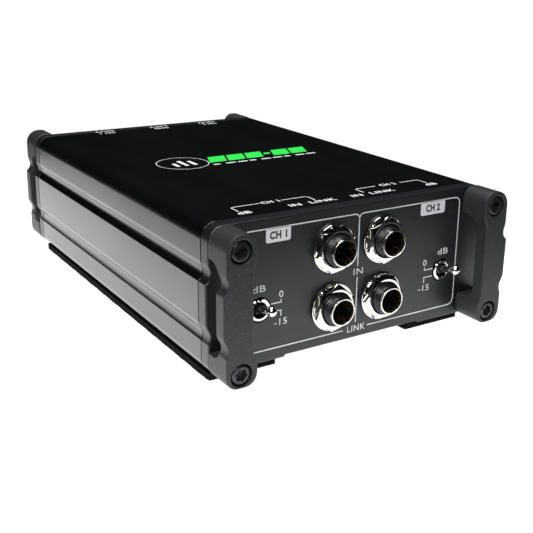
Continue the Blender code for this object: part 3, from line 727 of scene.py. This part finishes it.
def nut_mesh():
    """Hexagon nut on a stepped flange, along +Z: a prism trimmed by a cone, then bored."""
    flange, bore, flat = 7.3 * MM, 5.0 * MM, 6.1 * MM
    foot, top, over, sides = 0.7 * MM, 2.9 * MM, 1.0 * MM, 144
    here = Matrix.Identity(4)
    edit = bmesh.new()
    corners = circle((0, 0), flat / math.cos(math.radians(30)), 6)
    rows = [ring(edit, [(x, y, z) for x, y in corners]) for z in (foot, top)]
    bridge(edit, rows)
    for row in rows:
        edit.faces.new(row)
    blank = cutter(edit)
    trim, base, hole = bmesh.new(), bmesh.new(), bmesh.new()
    slope, crown, wide = 2.4, bore + 0.85 * MM, 9 * MM
    stations = [(0, 0), (0, wide), (top - (wide - crown) / slope, wide), (top, crown), (top + over, crown)]
    turned(trim, [*stations, (top + over, 0)], here, sides)
    step, land = 0.83 * MM, 1.02 * MM
    stations = [(GAP, 0), (GAP, flange - 0.25 * MM)] + rim(flange, 0.95 * MM, 0.22 * MM)
    stations += [(0.95 * MM, flange - 0.35 * MM), (step, flange - 0.45 * MM), (step, flange - 0.65 * MM)]
    stations += [(land, flange - 0.8 * MM), (land, 0)]
    turned(base, stations, here, sides)
    bevel, mouth = 0.25 * MM, top + 0.35 * MM
    stations = [(-over, 0), (-over, bore), (top - bevel, bore), (mouth, bore + 0.6 * MM), (mouth, 0)]
    turned(hole, stations, here, sides)
    helpers = [cutter(edit) for edit in (trim, base, hole)]
    for helper, operation in zip(helpers, ("INTERSECT", "UNION", "DIFFERENCE")):
        cut(blank, helper, operation)
    return applied(blank, helpers)


def build_nut(name, p, turn, mesh):
    copy = mesh.copy()
    copy.transform(outward(-1, (p.x, -FACE, p.z)) @ Matrix.Rotation(math.radians(turn), 4, "Z"))
    copy.materials.append(CHROME)
    copy.shade_smooth()
    copy.set_sharp_from_angle(angle=math.radians(20))
    place_piece(f"jack_hex_nut_{name}", copy, [f"jack_nut_{name}"])


def build_contact(name, p):
    """Bent leaf spring in the bore's far end: depth from the panel and height over the axis, in mm."""
    edit = bmesh.new()
    leaf, half = 0.35 * MM, 1.2 * MM
    path = [(15.8, 3.2), (16.3, 2.95), (17.0, 2.7), (17.6, 2.95), (18.6, 3.75), (19.2, 3.9), (23.6, 4.0)]
    path = [(y * MM - FACE, z * MM + p.z) for y, z in path]
    rows = []
    for y, z in path:
        corners = [(p.x - half, z), (p.x + half, z), (p.x + half, z - leaf), (p.x - half, z - leaf)]
        rows.append(ring(edit, [(x, y, level) for x, level in corners]))
    bridge(edit, rows)
    edit.faces.new(rows[0])
    edit.faces.new(rows[-1])
    new_piece(f"jack_leaf_{name}", edit, [BRASS], [f"jack_tip_contact_{name}"])


def build_jacks():
    turns = {"input_left": 12, "input_right": 22, "thru_left": 18, "thru_right": 3}
    nut = nut_mesh()
    for name, p in JACKS.items():
        build_housing(name, p)
        build_sleeve(name, p)
        build_nut(name, p, turns[name], nut)
        build_contact(name, p)


# ---------------------------------------------------------------- toggle switches

LEVER_TIP = 7.9 * MM
LEVER_TILT = math.radians(12.5)
BUSHING_PROUD = 0.4 * MM


def build_bushing(name, p, end):
    """Plated bushing with a key slot at the top and its bore painted black as shade, and its frame plate
    behind the panel.
    """
    edit = bmesh.new()
    matrix = outward(end, (p.x, end * FACE, p.z))
    key_half, bore = 0.45 * MM, 2.3 * MM
    plate_z = -PANEL_THICKNESS - GAP

    def keyed(a, height):
        across = abs(math.atan2(math.cos(a), math.sin(a)) * BUSHING_RADIUS)
        return BUSHING_RADIUS - (0.7 * MM if across < key_half else 0)

    edge = 0.2 * MM
    stations = [(plate_z, keyed), (BUSHING_PROUD - edge, keyed)]
    stations += [(BUSHING_PROUD, lambda a, h: keyed(a, h) - edge)]
    stations += [(BUSHING_PROUD, bore + 0.25 * MM), (BUSHING_PROUD - edge, bore), (plate_z, bore)]
    # The bore wall and the back end take the black moulding: painted shade inside the bushing.
    painted_shade_from = len(stations) - 2
    turned(edit, stations, matrix, 144, closed=True, material_of=lambda n: 0 if n < painted_shade_from else 1)
    low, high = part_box(f"{name}_bushing")
    wall, window = 1.0 * MM, 2.6 * MM
    y0, y1 = sorted((end * (FACE - PANEL_THICKNESS - GAP), end * (FACE - PANEL_THICKNESS - wall)))
    block(edit, (low.x, y0, low.z), (low.x + wall, y1, high.z), 0.1 * MM)
    block(edit, (high.x - wall, y0, low.z), (high.x, y1, high.z), 0.1 * MM)
    for z0, z1 in ((low.z, p.z - window), (p.z + window, high.z)):
        block(edit, (low.x + wall / 2, y0, z0), (high.x - wall / 2, y1, z1), 0.1 * MM)
    new_piece(f"{name}_collar", edit, [CHROME, MOULDING], [f"{name}_bushing"])


def build_lever(name, p, end):
    """Ball-ended lever about its pivot: a chrome ball, with the neck and the rest in dark oxide as a painted
    dark reflection.
    """
    edit = bmesh.new()
    matrix = outward(end, p) @ Matrix.Rotation(-LEVER_TILT, 4, "X")
    ball, pivot, tail = 1.5 * MM, 1.9 * MM, -6.4 * MM
    stations = [(LEVER_TIP + ball, 0)]
    for a in [math.radians(12 * i) for i in range(1, 12)]:
        stations.append((LEVER_TIP + ball * math.cos(a), ball * math.sin(a)))
    stations += [(LEVER_TIP - 1.6 * MM, 0.82 * MM), (LEVER_TIP - 2.4 * MM, 0.86 * MM)]
    plated = len(stations) - 1
    stations += [(2.6 * MM, 1.12 * MM), (2.0 * MM, 1.2 * MM)]
    for a in [math.radians(42 + 12 * i) for i in range(10)]:
        stations.append((pivot * math.cos(a), pivot * math.sin(a)))
    stations += [(-2.4 * MM, 0.9 * MM), (-5.8 * MM, 0.8 * MM), (tail, 0.5 * MM), (tail, 0)]
    # Past the ball the lever takes dark oxide instead of chrome: a painted dark reflection.
    turned(edit, stations, matrix, 48, material_of=lambda n: 0 if n < plated else 1)
    materials = [CHROME, OXIDE]
    new_piece(f"{name}_bat", edit, materials, [f"{name}_lever"], body=f"{name}_toggle")


def build_switches():
    for name, p in SWITCHES.items():
        end = -1 if p.y < 0 else 1
        build_bushing(name, p, end)
        build_lever(name, p, end)
        give_material(f"{name}_body", RESIN)


# ---------------------------------------------------------------- outputs

def build_outputs():
    for side, p in OUTPUTS.items():
        edit = bmesh.new()
        matrix = outward(1, (p.x, FACE, p.z))
        proud, cavity = 0.5 * MM, 8.1 * MM
        floor, back = -19 * MM, -22 * MM
        key_half, ear = 1.3 * MM, 9.4 * MM

        def keyway(a, height):
            across = abs(math.atan2(math.cos(a), -math.sin(a)) * cavity)
            return cavity - (0.9 * MM if across < key_half else 0)

        stations = [(back, 0), (back, OUTPUT_RADIUS - 0.3 * MM), (back + 0.3 * MM, OUTPUT_RADIUS)]
        stations += rim(OUTPUT_RADIUS, proud, 0.5 * MM, 6)
        stations += [(proud, cavity + 0.6 * MM), (proud - 0.15 * MM, cavity + 0.3 * MM)]
        stations += [(proud - 0.6 * MM, cavity), (proud - 2.5 * MM, cavity)]
        stations += [(proud - 2.6 * MM, keyway), (floor, keyway), (floor, 0)]
        turned(edit, stations, matrix, 144)
        low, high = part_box(f"output_housing_{side}")
        face_y = FACE - PANEL_THICKNESS - GAP
        back_y = face_y - 2.6 * MM
        block(edit, (low.x, back_y, low.z), (high.x, face_y, p.z - ear), 0.3 * MM)
        block(edit, (low.x, back_y, p.z + ear), (high.x, face_y, high.z), 0.3 * MM)
        new_piece(f"output_shell_{side}", edit, [MOULDING], [f"output_housing_{side}"])
        for number in (1, 2, 3):
            build_pin(f"output_pin_{side}_{number}", f"contact_pin_{side}_{number}")


def build_pin(node, name):
    edit = bmesh.new()
    low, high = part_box(node)
    p = (low + high) / 2
    radius = (high.x - low.x) / 2
    tip, shoulder, end = high.y - FACE, -21.8 * MM, low.y - FACE
    stations = [(tip, 0)]
    for a in [math.radians(15 * i) for i in range(1, 7)]:
        stations.append((tip - radius * 0.9 * (1 - math.cos(a)), radius * math.sin(a)))
    stations += [(shoulder, radius), (shoulder, 0.55 * MM), (end, 0.5 * MM), (end, 0)]
    turned(edit, stations, outward(1, (p.x, FACE, p.z)), 40)
    new_piece(name, edit, [SILVER], [node])


# ---------------------------------------------------------------- printed legends

FILM = 0.02 * MM  # how far the ink stands over its surface
LINE = 0.36 * MM  # width of the printed rules
FRONT_FILM = outward(-1, (0, -FACE, 0))
TOP_FILM = Matrix.Translation((0, 0, TOP))
TOP_FILM_FROM_REAR = TOP_FILM @ Matrix.Rotation(math.pi, 4, "Z")


def stroke(points, width=LINE):
    """Outline of a line of even width through the points."""
    sides = ([], [])
    for i, here in enumerate(points):
        spans = [(points[j], points[j + 1]) for j in (i - 1, i) if 0 <= j < len(points) - 1]
        ways = [(Vector(b) - Vector(a)).normalized() for a, b in spans]
        way = sum(ways, Vector((0, 0))).normalized()
        half = width / 2 / max(0.5, way.dot(ways[0]))
        for side, sign in zip(sides, (1, -1)):
            side.append((here[0] - sign * way.y * half, here[1] + sign * way.x * half))
    return sides[0] + sides[1][::-1]


def rounded_box(low, high, radius):
    points = []
    (x0, y0), (x1, y1) = (low[0] + radius, low[1] + radius), (high[0] - radius, high[1] - radius)
    for centre, start in (((x1, y0), -90), ((x1, y1), 0), ((x0, y1), 90), ((x0, y0), 180)):
        points += arc(centre, radius, start, start + 90, 6)
    return points


def film_mesh(curve, matrix):
    """The mesh of a flat curve that is made into a thin film of ink on a surface."""
    curve.fill_mode = "BOTH"
    curve.extrude = FILM
    helper = bpy.data.objects.new("film", curve)
    bpy.context.scene.collection.objects.link(helper)
    bpy.context.view_layer.update()
    mesh = bpy.data.meshes.new_from_object(helper.evaluated_get(bpy.context.evaluated_depsgraph_get()))
    mesh.transform(matrix)
    bpy.data.objects.remove(helper, do_unlink=True)
    return mesh


def drawing(outlines, matrix):
    curve = bpy.data.curves.new("film", "CURVE")
    curve.dimensions = "2D"
    for outline in outlines:
        spline = curve.splines.new("POLY")
        spline.points.add(len(outline) - 1)
        for point, (u, v) in zip(spline.points, outline):
            point.co = (u, v, 0, 1)
        spline.use_cyclic_u = True
    return film_mesh(curve, matrix)


def lettering(text, centre, height, width, matrix, weight=0.004):
    """Letters scaled to a height and a width about a centre. More weight thickens their strokes."""
    curve = bpy.data.curves.new("letters", "FONT")
    curve.body = text
    curve.resolution_u = 3
    curve.offset = weight
    curve.space_character = 1.08
    mesh = film_mesh(curve, Matrix.Identity(4))
    xs, ys = zip(*[(v.co.x, v.co.y) for v in mesh.vertices])
    scale = (width / (max(xs) - min(xs)), height / (max(ys) - min(ys)))
    move = Matrix.Translation((-(max(xs) + min(xs)) / 2, -(max(ys) + min(ys)) / 2, 0))
    mesh.transform(matrix @ Matrix.Translation((*centre, 0)) @ Matrix.Diagonal((*scale, 1, 1)) @ move)
    return mesh


def print_piece(name, meshes, material):
    edit = bmesh.new()
    for mesh in meshes:
        edit.from_mesh(mesh)
    bmesh.ops.remove_doubles(edit, verts=edit.verts, dist=1e-7)
    for face in edit.faces:
        face.material_index = 0
    new_piece(name, edit, [material], [])


def front_print():
    """A ruled frame round both channels, with short generic legends."""
    edge, low, high, radius = 39.1 * MM, 5.95 * MM, 41.4 * MM, 2 * MM
    middle, turn, gap = 0.1 * MM, 1.6 * MM, 4.5 * MM
    lines = []
    for side in SIDES.values():
        start, end = (90, 180) if side < 0 else (90, 0)
        corner = arc((side * (edge - radius), high - radius), radius, end, start, 8)
        foot = arc((side * (edge - radius), low + radius), radius, end, end - 90 if side > 0 else 270, 8)
        inner = arc((middle + side * turn, high - turn), turn, start, 180 if side > 0 else 0, 8)
        path = [(middle + side * gap, low), (side * (edge - radius), low)] + foot[::-1][1:-1]
        path += [(side * edge, low + radius), (side * edge, high - radius)] + corner[1:-1]
        lines.append(stroke(path + [(side * (edge - radius), high)] + inner))
    for z_high, z_low in ((high - turn, 25.5 * MM), (22.1 * MM, 7.8 * MM)):
        lines.append(stroke([(middle, z_high), (middle, z_low)]))
    tick = 26.3 * MM
    for side in SIDES.values():
        for z_label, z_line in ((20.4 * MM, 19.5 * MM), (15.3 * MM, 17.1 * MM)):
            path = [(side * tick, z_label), (side * tick, z_line), (side * (tick + 3.3 * MM), z_line)]
            lines.append(stroke(path, 0.3 * MM))
    pills = {"CH 1": (-31.5, -23.5), "CH 2": (23.3, 33.0)}
    lines += [rounded_box((a * MM, 37.3 * MM), (b * MM, high), 0.7 * MM) for a, b in pills.values()]
    meshes = [drawing([line], FRONT_FILM) for line in lines]
    legends = [("IN", 0.4, 23.8, 2.0, 3.4), ("LINK", 0.5, 5.9, 2.0, 6.6)]
    for side in SIDES.values():
        legends += [("dB", side * 33.5, 24.6, 1.95, 4.2), ("0", side * 26.3, 21.9, 1.95, 1.4)]
        legends += [("-15", side * 26.4, 13.6, 1.95, 4.3)]
    for text, x, z, height, width in legends:
        meshes.append(lettering(text, (x * MM, z * MM), height * MM, width * MM, FRONT_FILM))
    print_piece("front_legend", meshes, INK)
    raised = FRONT_FILM @ Matrix.Translation((0, 0, FILM))
    dark = []
    for text, (a, b) in pills.items():
        dark.append(lettering(text, ((a + b) / 2 * MM, 39.35 * MM), 2.3 * MM, 5.6 * MM, raised, 0.045))
    print_piece("pill_legend", dark, DARK_INK)


def top_print():
    """Legends along both ends of the top, a ring with level bars, and a row of slanted green blocks."""
    low, high = -63.2 * MM, -56.9 * MM
    bend, drop = 1.0 * MM, -61.4 * MM
    meshes = []
    for x_drop, x_end in ((-34.6, -25.0), (-9.0, -17.8), (8.8, 16.6), (33.6, 26.4)):
        side = 1 if x_end > x_drop else -1
        corner = (x_drop * MM + side * bend, high - bend)
        turn = arc(corner, bend, 180 if side > 0 else 0, 90, 5)
        meshes.append(drawing([stroke([(x_drop * MM, drop), *turn, (x_end * MM, high)])], TOP_FILM))
    legends = [("dB", -33.7, low, 4.4), ("CH 1", -21.6, high, 6.0), ("IN  LINK", -11.0, low, 16.0),
               ("IN  LINK", 10.9, low, 16.0), ("CH 2", 21.4, high, 6.0), ("dB", 33.7, low, 4.4)]
    bold = 0.02
    for text, x, y, width in legends:
        meshes.append(lettering(text, (x * MM, y), 2.2 * MM, width * MM, TOP_FILM, bold))
    for x, words in ((22.4, ("CH 1", "OUT")), (-0.8, ("GND", "LIFT")), (-23.0, ("CH 2", "OUT"))):
        for word, y, width in zip(words, (-63.0 * MM, -66.8 * MM), (6.4, 8.0)):
            place = (x * MM, y)
            meshes.append(lettering(word, place, 2.1 * MM, width * MM, TOP_FILM_FROM_REAR, bold))
    dash_y = -6.7 * MM
    for i in range(9):
        start = (-12.6 + 4.7 * i) * MM
        end = start + (3.7 if i % 3 else 2.4) * MM
        meshes.append(drawing([stroke([(start, dash_y), (end, dash_y)], 1.1 * MM)], TOP_FILM))
    centre, foot = (-21.0 * MM, 0), -3.9 * MM
    meshes.append(drawing([circle(centre, radius * MM, 72) for radius in (9.0, 8.74)], TOP_FILM))
    for x, height in ((-3.2, 4.6), (0, 7.6), (3.2, 6.1)):
        bar = [(centre[0] + x * MM, foot), (centre[0] + x * MM, foot + height * MM)]
        meshes.append(drawing([stroke(bar, 1.4 * MM)], TOP_FILM))
    print_piece("top_legend", meshes, TOP_INK)
    blocks = []
    tall, short, lean = (-3.5, 4.5), (-0.46, 1.78), 0.4
    shapes = [(x, 6.6, tall) for x in (-12.4, -5.0, 2.4)] + [(9.8, 2.6, short)]
    shapes += [(x, 6.6, tall) for x in (13.4, 20.8)]
    for x, width, (low, high) in shapes:
        corners = [(x, low), (x + width, low), (x + width, high), (x, high)]
        outline = [((x + lean * (y - tall[0])) * MM, y * MM) for x, y in corners]
        blocks.append(drawing([outline], TOP_FILM))
    print_piece("green_legend", blocks, GREEN_INK)


# ---------------------------------------------------------------- pads and inner nodes

def build_pads():
    """Rubber strips with a slightly wavy hand-cut edge."""
    for side in SIDES:
        low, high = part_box(f"base_pad_{side}")
        edit = bmesh.new()
        steps, edge, rows = 120, 0.1 * MM, []
        for i in range(steps + 1):
            y = low.y + (high.y - low.y) * i / steps
            wave = 0.05 * MM * math.sin(i * 0.7) + 0.03 * MM * math.sin(i * 1.9 + 1)
            tuck = 0.3 * MM if i in (0, steps) else 0
            x0, x1, z0, z1 = low.x + tuck + wave, high.x - tuck + wave, low.z, high.z
            section = [(x0 + edge, z0), (x1 - edge, z0), (x1, z0 + edge), (x1, z1), (x0, z1), (x0, z0 + edge)]
            rows.append(ring(edit, [(x, y, z) for x, z in section]))
        bridge(edit, rows)
        edit.faces.new(rows[0])
        edit.faces.new(rows[-1])
        new_piece(f"grip_strip_{side}", edit, [RUBBER], [f"base_pad_{side}"])


def give_material(node, material):
    """A CAD node that stays gets a detailed material."""
    mesh = NODES[node].data
    mesh.materials.clear()
    mesh.materials.append(material)


def dress_inner_nodes():
    for node in ("main_board", "rear_board"):
        give_material(node, BOARD)
    give_material("board_link", RIBBON)
    for side in SIDES:
        give_material(f"transformer_{side}", SHIELD)


# ---------------------------------------------------------------- camera and light

CAMERA_PLACE = (-0.15093, -0.26378, 0.11007)
CAMERA_AZIMUTH, CAMERA_ELEVATION, CAMERA_ROLL = map(math.radians, (-33.01, 16.96, 1.0))
SENSOR = 36
FOCAL_SHARE = 1.6561  # focal length over picture width
CAMERA_SHIFT = (-0.0332, -0.0661)


def make_camera():
    data = bpy.data.cameras.new("camera")
    data.sensor_width = SENSOR
    data.lens = SENSOR * FOCAL_SHARE
    data.shift_x, data.shift_y = CAMERA_SHIFT
    data.clip_start = 0.01
    across, rise = math.cos(CAMERA_ELEVATION), math.sin(CAMERA_ELEVATION)
    back = Vector((math.sin(CAMERA_AZIMUTH) * across, -math.cos(CAMERA_AZIMUTH) * across, rise))
    right = Vector((0, 0, 1)).cross(back).normalized()
    up = back.cross(right)
    tilted_right = right * math.cos(CAMERA_ROLL) + up * math.sin(CAMERA_ROLL)
    tilted_up = up * math.cos(CAMERA_ROLL) - right * math.sin(CAMERA_ROLL)
    camera = bpy.data.objects.new("camera", data)
    camera.matrix_world = Matrix((tilted_right, tilted_up, back)).transposed().to_4x4()
    camera.location = CAMERA_PLACE
    bpy.context.scene.collection.objects.link(camera)
    bpy.context.scene.camera = camera


def area_light(name, place, target, size, power):
    data = bpy.data.lights.new(name, "AREA")
    data.shape = "RECTANGLE"
    data.size, data.size_y = size
    data.energy = power
    light = bpy.data.objects.new(name, data)
    light.location = place
    light.rotation_euler = (Vector(target) - Vector(place)).to_track_quat("-Z", "Y").to_euler()
    bpy.context.scene.collection.objects.link(light)


def make_floor():
    """A pale sheet. It ends where its reflections in the side and the front should fade."""
    material = bpy.data.materials.new("pale_floor")
    material.use_nodes = True
    shader = material.node_tree.nodes["Principled BSDF"]
    shader.inputs["Base Color"].default_value = (0.3, 0.3, 0.3, 1)
    shader.inputs["Roughness"].default_value = 0.9
    shader.inputs["Specular IOR Level"].default_value = 0.0
    shader.inputs["Emission Color"].default_value = (1, 1, 1, 1)
    shader.inputs["Emission Strength"].default_value = 1.0
    edit = bmesh.new()
    outline = rounded_box((-0.12, -0.142), (0.105, 0.24), 0.03)
    edit.faces.new(ring(edit, [(x, y, 0) for x, y in outline]))
    mesh = bpy.data.meshes.new("floor")
    edit.to_mesh(mesh)
    edit.free()
    mesh.materials.append(material)
    floor = bpy.data.objects.new("floor", mesh)
    bpy.context.scene.collection.objects.link(floor)


def make_lights():
    """Soft light from above, a weak strip low on the left, and a key light high on the left."""
    area_light("top_light", (0, 0, 1.2), (0, 0, 0), (0.7, 0.7), 14)
    area_light("low_left_light", (-0.0673, 0.09, 0.001), (-0.0673, 0.09, 1), (0.0372, 0.38), 0.03)
    area_light("high_left_light", (-0.40, -0.57, 0.64), (0, -0.075, 0.03), (0.35, 0.35), 4.3)


def make_world():
    """White as the background, and nearly dark as a light: a little comes up from below."""
    world = bpy.data.worlds.new("studio")
    bpy.context.scene.world = world
    world.use_nodes = True
    nodes, links = world.node_tree.nodes, world.node_tree.links
    seen = nodes["Background"]
    seen.inputs["Color"].default_value = (1, 1, 1, 1)
    seen.inputs["Strength"].default_value = 1.0
    unseen = nodes.new("ShaderNodeBackground")
    unseen.inputs["Strength"].default_value = 1.0
    coordinates, split = nodes.new("ShaderNodeTexCoord"), nodes.new("ShaderNodeSeparateXYZ")
    below = nodes.new("ShaderNodeMapRange")
    for socket, value in (("From Min", -0.12), ("From Max", 0.0), ("To Min", 0.05), ("To Max", 0.003)):
        below.inputs[socket].default_value = value
    links.new(coordinates.outputs["Generated"], split.inputs["Vector"])
    links.new(split.outputs["Z"], below.inputs["Value"])
    links.new(below.outputs["Result"], unseen.inputs["Color"])
    path = nodes.new("ShaderNodeLightPath")
    mix = nodes.new("ShaderNodeMixShader")
    links.new(path.outputs["Is Camera Ray"], mix.inputs["Fac"])
    links.new(unseen.outputs["Background"], mix.inputs[1])
    links.new(seen.outputs["Background"], mix.inputs[2])
    links.new(mix.outputs["Shader"], nodes["World Output"].inputs["Surface"])
    bpy.context.scene.view_settings.view_transform = "Standard"


build_case()
build_panels()
build_brackets()
build_screws()
build_jacks()
build_switches()
build_outputs()
build_pads()
front_print()
top_print()
dress_inner_nodes()
make_floor()
make_lights()
make_world()
make_camera()
